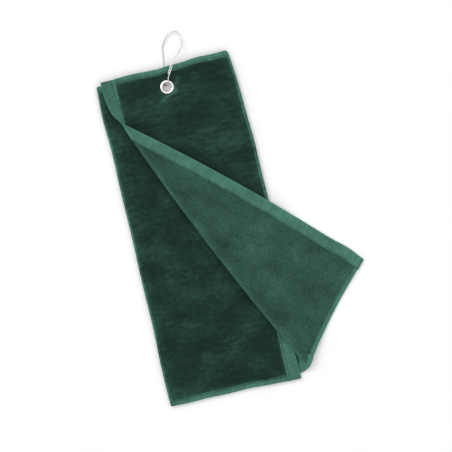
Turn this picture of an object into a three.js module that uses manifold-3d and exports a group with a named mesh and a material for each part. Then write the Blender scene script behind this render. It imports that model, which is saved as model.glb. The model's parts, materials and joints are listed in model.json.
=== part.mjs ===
// A tri-fold golf towel lying flat, with the lower corner of its front leaf turned back over its right edge,
// a grommet through its three layers and a latching wire hook in the grommet.
// Millimetres. +X is to the right, +Y towards the grommet end and +Z up, away from the surface it lies on.
// The origin is the middle of the folded towel, on its underside.
import * as THREE from "three";
import { mergeVertices } from "three/addons/utils/BufferGeometryUtils.js";
import Module from "manifold-3d";

const wasm = await Module();
wasm.setup();

// Folded towel: 15 in long and 6 in wide, from a cloth cut to 15 by 18 in
const TOP_FRONT = 191.5; // top edge of the front leaf
const TOP_BACK = 188; // top edge of the two leaves behind it
const BOTTOM = -191;
const LEFT_FOLD_X = -77.5;
const INNER_EDGE = { bottom: 75.2, top: 72.2 }; // free edge of the inner leaf, which leans a little
const FRONT_EDGE_X = -71.9; // free edge of the front leaf, above the turned-back corner
// Right fold: where it is widest, and how far it draws in over a length above and below that
const FOLD_BULGE = { x: 85, y: 40, rise: 6.4, riseLength: 152, fall: 4.4, fallLength: 202 };
const RIGHT_FOLD_LOW = -162.5; // the right fold ends where the crease of the turned-back corner meets it
const GAP = 0.3; // clearance between neighbouring pieces
const FAR = 300; // past every edge of the towel
const BELOW = -1; // under every layer
const ABOVE = 12; // over every layer

// Hems: the edge is turned under and stitched along a groove
const SIDE_HEM = 12.5;
const END_HEM = 5.5;
const GROOVE = 1;
const THREAD_R = 0.2;

// Heights of the layers, which are squeezed thinner at the grommet end, where they rest on the hook
const LAYER = 2.4;
const SQUEEZE_FROM = 145;
const SQUEEZE_TO = 158;
const BACK = { low: 0, high: LAYER, endLow: 1.7, endHigh: 3.6 };
const INNER = { low: 2.7, high: 5.1, endLow: 3.9, endHigh: 5.5 };
const FRONT = { low: 5.4, high: 7.8, endLow: 5.8, endHigh: 7.8 };
const FLAP_LOW = 8.1;
const FLAP_HEM_THICKNESS = 2;

// The turned-back corner swings about a straight crease from the top left to the bottom right corner
const CREASE_POINT = new THREE.Vector2(10.65, -17.75);
const CREASE_DIR = new THREE.Vector2(0.4117, -0.9113);
const CREASE_NORMAL = new THREE.Vector2(0.9113, 0.4117); // towards the turned-back corner
const FLAP_PIVOT = new THREE.Vector2(-59.9, 140.3);
const FLAP_CORNER = new THREE.Vector2(176, -76.4);
const FLAP_END = new THREE.Vector2(84.3, -184);
const FLAP_SIDE_BOW = 5.4; // how far the hemmed side bows outwards
const FLAP_END_BOW = -3.3; // the hemmed end bows inwards
const DROOP_FROM = 86.5; // past the right fold the corner drops to the surface
const DROOP_LENGTH = 34;
const RUN_OUT = 40; // how far a cut along its edges goes on past it

// Grommet: an eyelet rolled over a washer
const GROMMET = new THREE.Vector2(1.2, 167.4);
const HOLE_R = 5;
const BARREL_R = 5.4;
const FLANGE_R = 8;
const CLOTH_HOLE_R = 5.7;
const DIMPLE_R = 8.5;
const BACK_DIMPLE_Z = 3.05;
const FRONT_DIMPLE_Z = 7.2;

// Hook: one spring wire, bent to a pear, whose free half latches behind the end of its front leg
const WIRE_R = 0.6;
const CROWN = new THREE.Vector3(23, 227.5, 4);
const CROWN_GAP = 0.2; // each side of the point where the gate flexes
const FRAME_ROUTE = [
  [19.6, 227, 3.8],
  [16.2, 225.6, 3.3],
  [11, 220.6, 2.1],
  [7, 214, 0.9],
  [5.4, 207.5, 0.65],
  [4.6, 200, 0.65],
  [2.6, 192, 0.65],
  [0, 184, 0.65],
  [-1.8, 177, 0.65],
  [-1.9, 172.4, 0.7],
  [-1, 170.2, 1.3],
  [0, 169.4, 3.2],
  [1.2, 169.3, 5.2],
  [2.2, 169.6, 7.2],
  [2.9, 170.3, 8.6],
  [3.5, 171.9, 9.25],
  [4.5, 175.2, 9.2],
  [5.6, 178.2, 8.9],
  [7.2, 180.9, 8.75],
  [10.5, 186.1, 8.75],
  [12.6, 189.8, 8.75],
];
const GATE_ROUTE = [
  [26.5, 226.3, 4.5],
  [29.2, 221.5, 5.4],
  [29.6, 215, 6.5],
  [28.2, 209.3, 7.6],
  [25.2, 205, 8.3],
  [20.9, 201.2, 8.75],
  [17, 197.6, 8.8],
  [14.4, 193.9, 8.8],
  [12.6, 191.9, 8.8],
  [10.9, 190.4, 8.75],
  [9, 187, 8.75],
  [6.9, 183.4, 8.75],
  [6, 181.5, 8.75],
];

const velour = new THREE.MeshStandardMaterial({ color: 0x21392f, roughness: 0.95, metalness: 0 });
const terry = new THREE.MeshStandardMaterial({ color: 0x315144, roughness: 0.95, metalness: 0 });
const flatWeave = new THREE.MeshStandardMaterial({ color: 0x44705f, roughness: 0.85, metalness: 0 });
const sewingThread = new THREE.MeshStandardMaterial({ color: 0x2c5c4b, roughness: 0.6, metalness: 0 });
const nickel = new THREE.MeshStandardMaterial({ color: 0xd6d6d2, roughness: 0.2, metalness: 1 });

const towel = new THREE.Group();

function piece(name, geometry, material) {
  const mesh = new THREE.Mesh(geometry, material);
  mesh.name = name;
  towel.add(mesh);
}

// Boolean operations on closed geometries
function solidOf(geometry) {
  const bare = geometry.index ? geometry.toNonIndexed() : geometry.clone();
  bare.deleteAttribute("normal");
  bare.deleteAttribute("uv");
  const merged = mergeVertices(bare, 1e-4);
  const vertProperties = merged.attributes.position.array;
  return new wasm.Manifold(
    new wasm.Mesh({ numProp: 3, vertProperties, triVerts: new Uint32Array(merged.index.array) }),
  );
}

function geometryOf(solid) {
  const mesh = solid.getMesh();
  const geometry = new THREE.BufferGeometry();
  geometry.setAttribute("position", new THREE.BufferAttribute(mesh.vertProperties, 3));
  geometry.setIndex(new THREE.BufferAttribute(mesh.triVerts, 1));
  geometry.computeVertexNormals();
  return geometry;
}

// An outline drawn in X and Y, standing tall enough to cut any layer
function prism(outline) {
  const options = { depth: 2 * ABOVE, bevelEnabled: false };
  const geometry = new THREE.ExtrudeGeometry(new THREE.Shape(outline), options);
  return solidOf(geometry.translate(0, 0, -ABOVE));
}

function column(centre, radius, low, high) {
  const geometry = new THREE.CylinderGeometry(radius, radius, high - low, 32);
  return solidOf(geometry.rotateX(Math.PI / 2).translate(centre.x, centre.y, (low + high) / 2));
}

// A band that is thick in Z and follows a height in Y (axis "y") or in X (axis "x")
function blanket(axis, stations, low, high) {
  const profile = new THREE.Shape([
    ...stations.map((s) => new THREE.Vector2(s, low(s))),
    ...stations.toReversed().map((s) => new THREE.Vector2(s, high(s))),
  ]);
  const geometry = new THREE.ExtrudeGeometry(profile, { depth: 2 * FAR, bevelEnabled: false });
  geometry.translate(0, 0, -FAR);
  geometry.rotateX(Math.PI / 2);
  if (axis === "y") geometry.rotateZ(Math.PI / 2);
  return solidOf(geometry);
}

// A fold joins the back panel to a leaf above it with a half-round edge as high as the two together
const foldRadius = (leaf) => leaf.high / 2;

// Right fold: it bulges to the right near the middle of the towel
function foldX(y) {
  const { x, y: widest, rise, riseLength, fall, fallLength } = FOLD_BULGE;
  const above = y > widest;
  return x - (above ? rise : fall) * ((y - widest) / (above ? riseLength : fallLength)) ** 2;
}

const mix = THREE.MathUtils.lerp;
const stepsBetween = (a, b, n) => Array.from({ length: n + 1 }, (_, i) => mix(a, b, i / n));

// The outline between two Y values, with a straight left side and a right side that follows the fold
function toFold(left, low, high, inset, steps) {
  const right = stepsBetween(low, high, steps).map((y) => new THREE.Vector2(foldX(y) - inset, y));
  return [new THREE.Vector2(left, low), ...right, new THREE.Vector2(left, high)];
}

// X on the inner leaf, a given distance in from its leaning free edge
function innerX(y, inset) {
  return mix(INNER_EDGE.bottom, INNER_EDGE.top, (y - BOTTOM) / (TOP_BACK - BOTTOM)) - inset;
}

// The outline between two Y values, with sides that are straight but may lean
const strip = (low, high, left, right) => [
  new THREE.Vector2(left(low), low),
  new THREE.Vector2(right(low), low),
  new THREE.Vector2(right(high), high),
  new THREE.Vector2(left(high), high),
];

// One leaf's height, from the open lower part to the squeezed grommet end
function leafBlanket({ low, high, endLow, endHigh }) {
  const squeeze = (y) => THREE.MathUtils.smoothstep(y, SQUEEZE_FROM, SQUEEZE_TO);
  const stations = [-FAR, ...stepsBetween(SQUEEZE_FROM, SQUEEZE_TO, 4), FAR];
  return blanket(
    "y",
    stations,
    (y) => mix(low, endLow, squeeze(y)),
    (y) => mix(high, endHigh, squeeze(y)),
  );
}

// The turned-back corner's height: flat on the towel, then down to the surface past the right fold
function flapHeight(x) {
  return FLAP_LOW * (1 - THREE.MathUtils.smoothstep(x, DROOP_FROM, DROOP_FROM + DROOP_LENGTH));
}

function flapBlanket(thickness) {
  const stations = [-FAR, ...stepsBetween(DROOP_FROM, DROOP_FROM + DROOP_LENGTH, 10), FAR];
  return blanket("x", stations, flapHeight, (x) => flapHeight(x) + thickness);
}

// Everything on the turned-back corner's side of the crease, at least the given distance from it
function beyondCrease(distance) {
  const origin = CREASE_POINT.clone().addScaledVector(CREASE_NORMAL, distance);
  const corner = (along, out) =>
    origin.clone().addScaledVector(CREASE_DIR, along).addScaledVector(CREASE_NORMAL, out);
  return prism([corner(-FAR, 0), corner(FAR, 0), corner(FAR, FAR), corner(-FAR, FAR)]);
}

// A slightly bowed edge from one point to another, moved inwards by an offset
function bowedEdge(from, to, bow, inset, steps) {
  const along = to.clone().sub(from).normalize();
  const outward = new THREE.Vector2(-along.y, along.x);
  const start = from.clone().addScaledVector(outward, -inset);
  const end = to.clone().addScaledVector(outward, -inset);
  const middle = start.clone().lerp(end, 0.5).addScaledVector(outward, 2 * bow);
  return new THREE.QuadraticBezierCurve(start, middle, end).getPoints(steps);
}

const flapSide = (inset, steps = 12) => bowedEdge(FLAP_PIVOT, FLAP_CORNER, FLAP_SIDE_BOW, inset, steps);
const flapEnd = (inset, steps = 8) => bowedEdge(FLAP_CORNER, FLAP_END, FLAP_END_BOW, inset, steps);

// The band along a bowed edge as far in as an inset, run out past the edge and both its ends
function edgeBand(edge, inset) {
  const runOut = (points) => {
    const first = points[0].clone().sub(points[1]).setLength(RUN_OUT).add(points[0]);
    const last = points.at(-1).clone().sub(points.at(-2)).setLength(RUN_OUT).add(points.at(-1));
    return [first, ...points, last];
  };
  return prism([...runOut(edge(inset)), ...runOut(edge(-RUN_OUT / 2)).reverse()]);
}

function wire(route, radius, sides, stepsPerPoint) {
  const curve = new THREE.CatmullRomCurve3(route, false, "centripetal");
  const section = new THREE.Shape();
  section.absarc(0, 0, radius, 0, 2 * Math.PI);
  const steps = stepsPerPoint * (route.length - 1);
  const options = { steps, extrudePath: curve, bevelEnabled: false, curveSegments: sides };
  return new THREE.ExtrudeGeometry(section, options);
}

const straightThread = (from, to) => wire([from, to], THREAD_R, 6, 1);

// The leaf behind: it lies on the surface, pile down
function addBackPanel(leaf) {
  const left = LEFT_FOLD_X + foldRadius(INNER) + GAP;
  const inset = foldRadius(FRONT) + GAP;
  const panelLow = BOTTOM + END_HEM + GROOVE;
  const panelHigh = TOP_BACK - END_HEM - GROOVE;
  const panel = leaf
    .intersect(prism(toFold(left, panelLow, panelHigh, inset, 16)))
    .subtract(column(GROMMET, CLOTH_HOLE_R, BELOW, ABOVE))
    .subtract(column(GROMMET, DIMPLE_R, BELOW, BACK_DIMPLE_Z));
  piece("back_panel", geometryOf(panel), velour);
  const bottomHem = toFold(left, BOTTOM, BOTTOM + END_HEM, inset, 2);
  const topHem = toFold(left, TOP_BACK - END_HEM, TOP_BACK, inset, 2);
  piece("back_bottom_hem", geometryOf(leaf.intersect(prism(bottomHem))), flatWeave);
  piece("back_top_hem", geometryOf(leaf.intersect(prism(topHem))), flatWeave);
  addTopThread("back", BACK, left, foldX(TOP_BACK) - inset, TOP_BACK);
  addBottomThread("back", BACK, left, foldX(BOTTOM) - inset);
}

// The threads in the grooves of a leaf's end hems
function addTopThread(name, heights, left, right, top) {
  const z = (heights.endLow + heights.endHigh) / 2;
  addLevelThread(`${name}_top_thread`, left, right, top - END_HEM - GROOVE / 2, z);
}

function addBottomThread(name, heights, left, right) {
  const z = (heights.low + heights.high) / 2;
  addLevelThread(`${name}_bottom_thread`, left, right, BOTTOM + END_HEM + GROOVE / 2, z);
}

function addLevelThread(name, left, right, y, z) {
  const thread = straightThread(new THREE.Vector3(left, y, z), new THREE.Vector3(right, y, z));
  piece(name, thread, sewingThread);
}

// The middle leaf: folded over at the left, its hemmed free edge at the right
function addInnerLeaf(leaf) {
  const left = () => LEFT_FOLD_X + foldRadius(INNER) + GAP;
  const right = (y) => innerX(y, SIDE_HEM + GROOVE);
  const cut = (low, high, leftAt, rightAt) => leaf.intersect(prism(strip(low, high, leftAt, rightAt)));
  const panel = cut(BOTTOM + END_HEM + GROOVE, TOP_BACK - END_HEM - GROOVE, left, right);
  const hole = column(GROMMET, CLOTH_HOLE_R, BELOW, ABOVE);
  piece("inner_leaf", geometryOf(panel.subtract(hole)), velour);
  const sideHem = cut(BOTTOM, TOP_BACK, (y) => innerX(y, SIDE_HEM), (y) => innerX(y, 0));
  piece("inner_side_hem", geometryOf(sideHem), flatWeave);
  piece("inner_bottom_hem", geometryOf(cut(BOTTOM, BOTTOM + END_HEM, left, right)), flatWeave);
  piece("inner_top_hem", geometryOf(cut(TOP_BACK - END_HEM, TOP_BACK, left, right)), flatWeave);
  addTopThread("inner", INNER, left(), right(TOP_BACK), TOP_BACK);
  addBottomThread("inner", INNER, left(), right(BOTTOM));
  const route = [
    [BOTTOM, INNER.low + LAYER / 2],
    [SQUEEZE_FROM, INNER.low + LAYER / 2],
    [SQUEEZE_TO, (INNER.endLow + INNER.endHigh) / 2],
    [TOP_BACK, (INNER.endLow + INNER.endHigh) / 2],
  ].map(([y, z]) => new THREE.Vector3(innerX(y, SIDE_HEM + GROOVE / 2), y, z));
  piece("inner_side_thread", wire(route, THREAD_R, 6, 4), sewingThread);
}

// The front leaf: folded over at the right, and cut off here by the crease of its turned-back corner
function addFrontLeaf(leaf) {
  const inset = foldRadius(FRONT) + GAP;
  const rightOfCrease = beyondCrease(GAP / 2);
  const left = FRONT_EDGE_X + SIDE_HEM + GROOVE;
  const panel = leaf
    .intersect(prism(toFold(left, RIGHT_FOLD_LOW, TOP_FRONT - END_HEM - GROOVE, inset, 16)))
    .intersect(rightOfCrease)
    .subtract(column(GROMMET, CLOTH_HOLE_R, BELOW, ABOVE))
    .subtract(column(GROMMET, DIMPLE_R, FRONT_DIMPLE_Z, ABOVE));
  piece("front_leaf", geometryOf(panel), velour);
  const topHem = toFold(left, TOP_FRONT - END_HEM, TOP_FRONT, inset, 2);
  piece("front_top_hem", geometryOf(leaf.intersect(prism(topHem))), flatWeave);
  addTopThread("front", FRONT, left, foldX(TOP_FRONT) - inset, TOP_FRONT);
  // the free edge curls in towards the crease at its lower end
  const edgeTop = TOP_FRONT - 1.5;
  const edgeFoot = 138;
  const hemRight = FRONT_EDGE_X + SIDE_HEM;
  const edge = new THREE.SplineCurve([
    new THREE.Vector2(FRONT_EDGE_X, edgeTop),
    new THREE.Vector2(FRONT_EDGE_X + 0.1, 173),
    new THREE.Vector2(FRONT_EDGE_X + 2.2, 159.5),
    new THREE.Vector2(FRONT_EDGE_X + 5.8, 148.5),
    new THREE.Vector2(hemRight - 0.4, edgeFoot),
  ]).getPoints(12);
  const sideHem = [...edge, new THREE.Vector2(hemRight, edgeFoot), new THREE.Vector2(hemRight, edgeTop)];
  const hem = leaf.intersect(prism(sideHem.reverse())).intersect(rightOfCrease);
  piece("front_side_hem", geometryOf(hem), flatWeave);
  const threadX = hemRight + GROOVE / 2;
  const threadZ = (FRONT.endLow + FRONT.endHigh) / 2;
  const thread = [edgeFoot + 2, TOP_FRONT - END_HEM].map((y) => new THREE.Vector3(threadX, y, threadZ));
  piece("front_side_thread", straightThread(...thread), sewingThread);
}

function halfRound(outer, inner) {
  const shape = new THREE.Shape();
  shape.absarc(0, outer, outer, -Math.PI / 2, Math.PI / 2, false);
  shape.absarc(0, outer, inner, Math.PI / 2, -Math.PI / 2, true);
  return shape;
}

// Sweeps a section drawn in X and Z from one Y to another, following a sideways shift in X
function sweepAlongY(section, low, high, steps, shiftX) {
  const options = { depth: high - low, steps, bevelEnabled: false, curveSegments: 8 };
  const geometry = new THREE.ExtrudeGeometry(section, options);
  geometry.rotateX(Math.PI / 2).translate(0, high, 0);
  const position = geometry.attributes.position;
  for (let i = 0; i < position.count; i++) {
    position.setX(i, position.getX(i) + shiftX(position.getY(i)));
  }
  return geometry;
}

function addFolds() {
  const leftRadius = foldRadius(INNER);
  const leftSection = halfRound(leftRadius, leftRadius - LAYER + GAP / 2);
  const left = sweepAlongY(leftSection, BOTTOM, TOP_BACK, 1, () => 0);
  left.rotateY(Math.PI).translate(LEFT_FOLD_X + leftRadius, 0, INNER.high);
  piece("left_fold", left, velour);
  const rightRadius = foldRadius(FRONT);
  const rightSection = halfRound(rightRadius, rightRadius - LAYER);
  const right = sweepAlongY(rightSection, RIGHT_FOLD_LOW, TOP_BACK, 18, (y) => foldX(y) - rightRadius);
  piece("right_fold", right, velour);
}

// The lower corner of the front leaf, turned back over the towel with its looped side up
function addTurnedFlap() {
  const outline = [...flapSide(0), ...flapEnd(0).slice(1)];
  const pastCrease = [new THREE.Vector2(60, -210), new THREE.Vector2(-100, 140)];
  const whole = prism([...outline, ...pastCrease].reverse()).intersect(beyondCrease(GAP));
  const hemLayer = flapBlanket(FLAP_HEM_THICKNESS).intersect(whole);
  const panel = flapBlanket(LAYER)
    .intersect(whole)
    .subtract(edgeBand(flapSide, SIDE_HEM + GROOVE))
    .subtract(edgeBand(flapEnd, END_HEM + GROOVE));
  piece("turned_flap", geometryOf(panel), terry);
  piece("flap_side_hem", geometryOf(hemLayer.intersect(edgeBand(flapSide, SIDE_HEM))), flatWeave);
  const endHem = hemLayer
    .intersect(edgeBand(flapEnd, END_HEM))
    .subtract(edgeBand(flapSide, SIDE_HEM + GAP));
  piece("flap_end_hem", geometryOf(endHem), flatWeave);
  addFlapThreads();
}

// The threads stop short of the crease and of the far edges
function addFlapThreads() {
  const margin = 1;
  const sideDirection = FLAP_CORNER.clone().sub(FLAP_PIVOT).normalize();
  const fromCrease = (p) => p.clone().sub(CREASE_POINT).dot(CREASE_NORMAL);
  const fromEnd = (p) => FLAP_CORNER.clone().sub(p).dot(sideDirection);
  const fromSide = (p) => p.clone().sub(FLAP_CORNER).cross(sideDirection);
  const raised = ({ x, y }) => new THREE.Vector3(x, y, flapHeight(x) + FLAP_HEM_THICKNESS / 2);
  const sideRoute = flapSide(SIDE_HEM + GROOVE / 2, 40)
    .filter((p) => fromCrease(p) > margin && fromEnd(p) > margin)
    .map(raised);
  piece("flap_side_thread", wire(sideRoute, THREAD_R, 6, 1), sewingThread);
  const endRoute = flapEnd(END_HEM + GROOVE / 2, 24)
    .filter((p) => fromCrease(p) > margin && fromSide(p) > SIDE_HEM + GROOVE)
    .map(raised);
  piece("flap_end_thread", wire(endRoute, THREAD_R, 6, 1), sewingThread);
}

// A ring turned about the grommet's axis from an outline in radius and height
function ring(profile) {
  const points = [...profile, profile[0]].map(([r, z]) => new THREE.Vector2(r, z));
  const geometry = new THREE.LatheGeometry(points, 40);
  return geometry.rotateX(Math.PI / 2).translate(GROMMET.x, GROMMET.y, 0);
}

function addGrommet() {
  const eyelet = [
    [HOLE_R, 1.7],
    [5.3, 1.55],
    [6.5, 1.55],
    [6.5, 1.95],
    [BARREL_R, 2],
    [BARREL_R, 7.5],
    [FLANGE_R, 7.5],
    [FLANGE_R, 7.75],
    [7.5, 8.1],
    [6.6, 8.3],
    [5.8, 8.2],
    [5.2, 7.9],
    [HOLE_R, 7.4],
  ];
  const washer = [
    [CLOTH_HOLE_R, 2.25],
    [FLANGE_R, 2.25],
    [FLANGE_R, 2.55],
    [7, 2.75],
    [CLOTH_HOLE_R, 2.75],
  ];
  piece("grommet_eyelet", ring(eyelet), nickel);
  piece("grommet_washer", ring(washer), nickel);
}

function addHook() {
  const beside = (side) => CROWN.clone().add(new THREE.Vector3(side * CROWN_GAP, 0, side * 0.03));
  const frame = [beside(-1), ...FRAME_ROUTE.map((p) => new THREE.Vector3(...p))];
  const gate = [beside(1), ...GATE_ROUTE.map((p) => new THREE.Vector3(...p))];
  piece("hook_wire", wire(frame, WIRE_R, 8, 4), nickel);
  piece("hook_gate", wire(gate, WIRE_R, 8, 4), nickel);
}

addBackPanel(leafBlanket(BACK));
addInnerLeaf(leafBlanket(INNER));
addFrontLeaf(leafBlanket(FRONT));
addFolds();
addTurnedFlap();
addGrommet();
addHook();

export default towel;
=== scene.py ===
"""A tri-fold golf towel lying flat, its front leaf's corner turned back, with a wire hook in its grommet.

Lengths are in millimetres in the frame's axes until a mesh is made, which is in metres.
"""

import functools
import json
import math

import bmesh
import bpy
import numpy as np
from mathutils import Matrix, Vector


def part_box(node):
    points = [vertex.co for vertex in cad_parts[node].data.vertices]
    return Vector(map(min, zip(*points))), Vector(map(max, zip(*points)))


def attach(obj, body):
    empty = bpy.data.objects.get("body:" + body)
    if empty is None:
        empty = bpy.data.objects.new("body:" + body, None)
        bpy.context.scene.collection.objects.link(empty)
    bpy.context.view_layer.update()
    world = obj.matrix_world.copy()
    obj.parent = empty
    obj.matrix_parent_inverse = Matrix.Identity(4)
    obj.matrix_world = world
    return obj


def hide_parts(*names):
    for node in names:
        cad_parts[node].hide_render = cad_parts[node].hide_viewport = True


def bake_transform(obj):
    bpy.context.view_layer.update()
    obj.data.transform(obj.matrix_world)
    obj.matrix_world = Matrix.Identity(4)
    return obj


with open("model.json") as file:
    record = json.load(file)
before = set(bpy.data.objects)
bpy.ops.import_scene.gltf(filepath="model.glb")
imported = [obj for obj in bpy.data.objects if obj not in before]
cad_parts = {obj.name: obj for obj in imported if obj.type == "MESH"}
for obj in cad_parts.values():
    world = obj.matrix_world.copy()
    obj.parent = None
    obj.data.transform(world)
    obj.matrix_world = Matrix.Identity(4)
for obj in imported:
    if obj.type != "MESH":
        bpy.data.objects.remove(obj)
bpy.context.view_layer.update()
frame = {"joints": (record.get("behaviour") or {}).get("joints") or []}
MM = 0.001
UP = np.array([0.0, 0, 1])


# ---------------- sizes, from the frame

def low(node, axis):
    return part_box(node)[0][axis] / MM


def high(node, axis):
    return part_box(node)[1][axis] / MM


def joint(name):
    return next(j for j in frame["joints"] if j["name"] == name)


X, Y, Z = 0, 1, 2
LEFT_X = low("left_fold", X)
BOTTOM_Y = low("inner_side_hem", Y)
TOP_BACK_Y = high("inner_side_hem", Y)
TOP_FRONT_Y = high("front_top_hem", Y)
FOLD_X = high("right_fold", X)
INNER_EDGE_X = high("inner_side_hem", X)
FRONT_EDGE_X = low("front_side_hem", X)
FLAP_CORNER_X = high("flap_side_hem", X)
GROMMET = np.array([(low("grommet_eyelet", a) + high("grommet_eyelet", a)) / 2 for a in (X, Y)])
FLANGE_R = (high("grommet_eyelet", X) - low("grommet_eyelet", X)) / 2

# Bands of flat weave round the cloth, measured from its edges
SIDE_BAND = 16.7  # on the velour side, from a side edge to the pile
END_BAND = 6.4  # on the velour side, from an end edge to the pile
SIDE_HEM = 12.5  # stitching, from a side edge
END_HEM = 5.2  # stitching, from an end edge
LOOP_SIDE = 13.3  # on the looped side, from a side edge to the loops
LOOP_END = 5.8  # on the looped side, from an end edge to the loops

# Each layer's middle height and half thickness: where it lies open, and squeezed at the grommet end
LAYERS = {
    "back": ((1.2, 1.2), (2.65, 0.95)),
    "inner": ((3.9, 1.2), (4.7, 0.8)),
    "front": ((6.6, 1.2), (6.8, 1.0)),
}
FLAP_MID = 9.3
HALF = 1.2  # half the thickness of open cloth
HEM_HALF = 0.85
HEM_TUCK = 0.5  # how far a hem runs in under the pile
THREAD_SINK = 0.12  # from a hem's surface down to its row of stitches
SQUEEZE = (145, 158)  # Y over which the layers go from open to squeezed

# The right fold bulges: where it is widest, then how far it draws in over how long a rise and fall
FOLD_WIDEST_Y = 40
FOLD_RISE = (6.4, 152)
FOLD_FALL = (4.4, 202)
FOLD_FOOT = (4.2, 176, 191)  # how far its foot rounds off, and between which distances below the middle

# The crease of the turned-back corner, seen from above: a chord with a shallow bow to the lower left
CREASE_Z = joint("flap_turn")["pos_m"][2] / MM
CREASE_DIR = np.array(joint("flap_turn")["axis"][:2])
CREASE_NORMAL = np.array([-CREASE_DIR[1], CREASE_DIR[0]])
CREASE_POINT = np.array(joint("flap_turn")["pos_m"][:2]) / MM
CREASE_HALF_LENGTH = 172
CREASE_BOW = 4.6
CREASE_BULGE = 2.4  # from the chord out to the outside of the round crease
CREASE_HEM = 24  # the first part of the crease is the side hem's
CREASE_END = 347
FLAP_CORNER = np.array([FLAP_CORNER_X, low("flap_side_hem", Y) + 8.8])
FLAP_PIVOT = CREASE_POINT - CREASE_DIR * CREASE_HALF_LENGTH + CREASE_NORMAL * 0.8
FLAP_END = CREASE_POINT + CREASE_DIR * (CREASE_HALF_LENGTH + 9) + CREASE_NORMAL * 1.6
FLAP_ALONG = (FLAP_CORNER - FLAP_PIVOT) / np.linalg.norm(FLAP_CORNER - FLAP_PIVOT)
FLAP_INWARD = np.array([FLAP_ALONG[1], -FLAP_ALONG[0]])  # from the hemmed side into the corner's cloth
DROOP = (86.5, 34)  # X where the corner starts to drop past the right fold, and how far on it lies down
SIDE_BOW = 5.4
END_BOW = -3.3

# Each half of the crease, from its start to its end round its axis, in half turns from CREASE_NORMAL
CREASE_ARC = {"lower": (-0.5, -1.03), "upper": (-0.97, -1.58)}

# Where the hem turns up from the foot of the right fold to the corner: its free edge and its inner one
FOOT_OUTER = [
    (75.6, -186.6, 1.2), (80, -185.8, 2.2), (84.2, -184, 4.8), (89, -180.2, 8.2), (94.6, -171.8, 9.5),
]
FOOT_INNER = [
    (76.6, -176, 2), (80, -171.5, 4.4), (83.4, -169.4, 7.4), (86.4, -168.4, 9.5), (90.6, -166.6, 9.9),
]


# ---------------- small helpers

def smoothstep(value, start, end):
    t = np.clip((np.asarray(value, float) - start) / (end - start), 0, 1)
    return t * t * (3 - 2 * t)


def mix(a, b, t):
    return a + (b - a) * t


def waves(seed, scale, count=20):
    """A smooth random height of about -1 to 1 over the plane, with bumps of about the given size."""
    rng = np.random.default_rng(seed)
    angle = rng.uniform(0, 2 * math.pi, count)
    rate = math.pi / scale * rng.uniform(0.6, 1.4, count)
    phase = rng.uniform(0, 2 * math.pi, count)

    def height(x, y):
        total = sum(
            np.cos(r * (x * math.cos(a) + y * math.sin(a)) + p) for a, r, p in zip(angle, rate, phase)
        )
        return total / math.sqrt(count)

    return height


DIPS = waves(5, 38)  # the long dips that all layers of the lying towel share


def smooth_curve(points, count):
    """A Catmull-Rom curve through the points, at evenly spaced places."""
    points = np.asarray(points, float)
    padded = np.vstack([2 * points[0] - points[1], points, 2 * points[-1] - points[-2]])
    fine = []
    for a, b, c, d in zip(padded, padded[1:], padded[2:], padded[3:]):
        for t in np.linspace(0, 1, 24, endpoint=False):
            fine.append(0.5 * (2 * b + (c - a) * t + (2 * a - 5 * b + 4 * c - d) * t**2
                               + (3 * b - a - 3 * c + d) * t**3))
    fine.append(points[-1])
    return resample(np.array(fine), count)


def resample(points, count):
    steps = np.linalg.norm(np.diff(points, axis=0), axis=1)
    reached = np.concatenate([[0], np.cumsum(steps)])
    wanted = np.linspace(0, reached[-1], count)
    return np.stack([np.interp(wanted, reached, points[:, k]) for k in range(points.shape[1])], 1)


def graded(count, length, first=True, last=True):
    """Parameters from 0 to 1 with extra steps within 2 mm of the ends, for their rounding."""
    edge = np.array([0, 0.12, 0.35, 0.7, 1.2, 2.0]) / length
    middle = np.linspace(edge[-1] if first else 0, 1 - edge[-1] if last else 1, count)
    parts = [edge[:-1]] * first + [middle] + [1 - edge[:-1][::-1]] * last
    return np.concatenate(parts)


def rounded(distance, radius):
    """The share of the full thickness at a distance from a rounded edge."""
    inside = np.clip(distance / radius, 0, 1)
    return 0.12 + 0.88 * np.sqrt(1 - (1 - inside) ** 2)


def distance_to(route, x, y):
    """The distance in plan from each point to a route drawn finely enough."""
    nearest = np.full(np.shape(x), np.inf)
    for px, py in np.asarray(route)[:, :2]:
        nearest = np.minimum(nearest, np.hypot(x - px, y - py))
    return nearest


def hump(distance, width):
    return np.exp(-((distance / width) ** 2))


# ---------------- meshes

def mesh_object(name, vertices, faces, uv=None, zones=None, tone=None):
    """A smooth piece. Its tone, where given, lightens or darkens the cloth's pattern from point to point,
    mostly as painted highlights and painted shade.
    """
    mesh = bpy.data.meshes.new(name)
    mesh.from_pydata((np.asarray(vertices) * MM).tolist(), [], faces)
    if tone is not None:
        mesh.attributes.new("tone", "FLOAT", "POINT").data.foreach_set("value", np.asarray(tone, np.float32))
    mesh.polygons.foreach_set("use_smooth", [True] * len(mesh.polygons))
    if zones is not None:
        mesh.polygons.foreach_set("material_index", zones)
    if uv is not None:
        layer = mesh.uv_layers.new(name="cloth")
        corner = np.empty(len(mesh.loops), np.int32)
        mesh.loops.foreach_get("vertex_index", corner)
        layer.data.foreach_set("uv", (np.asarray(uv) * MM)[corner].astype(np.float32).ravel())
    mesh.update()
    piece = bpy.data.objects.new(name, mesh)
    bpy.context.scene.collection.objects.link(piece)
    return piece


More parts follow.
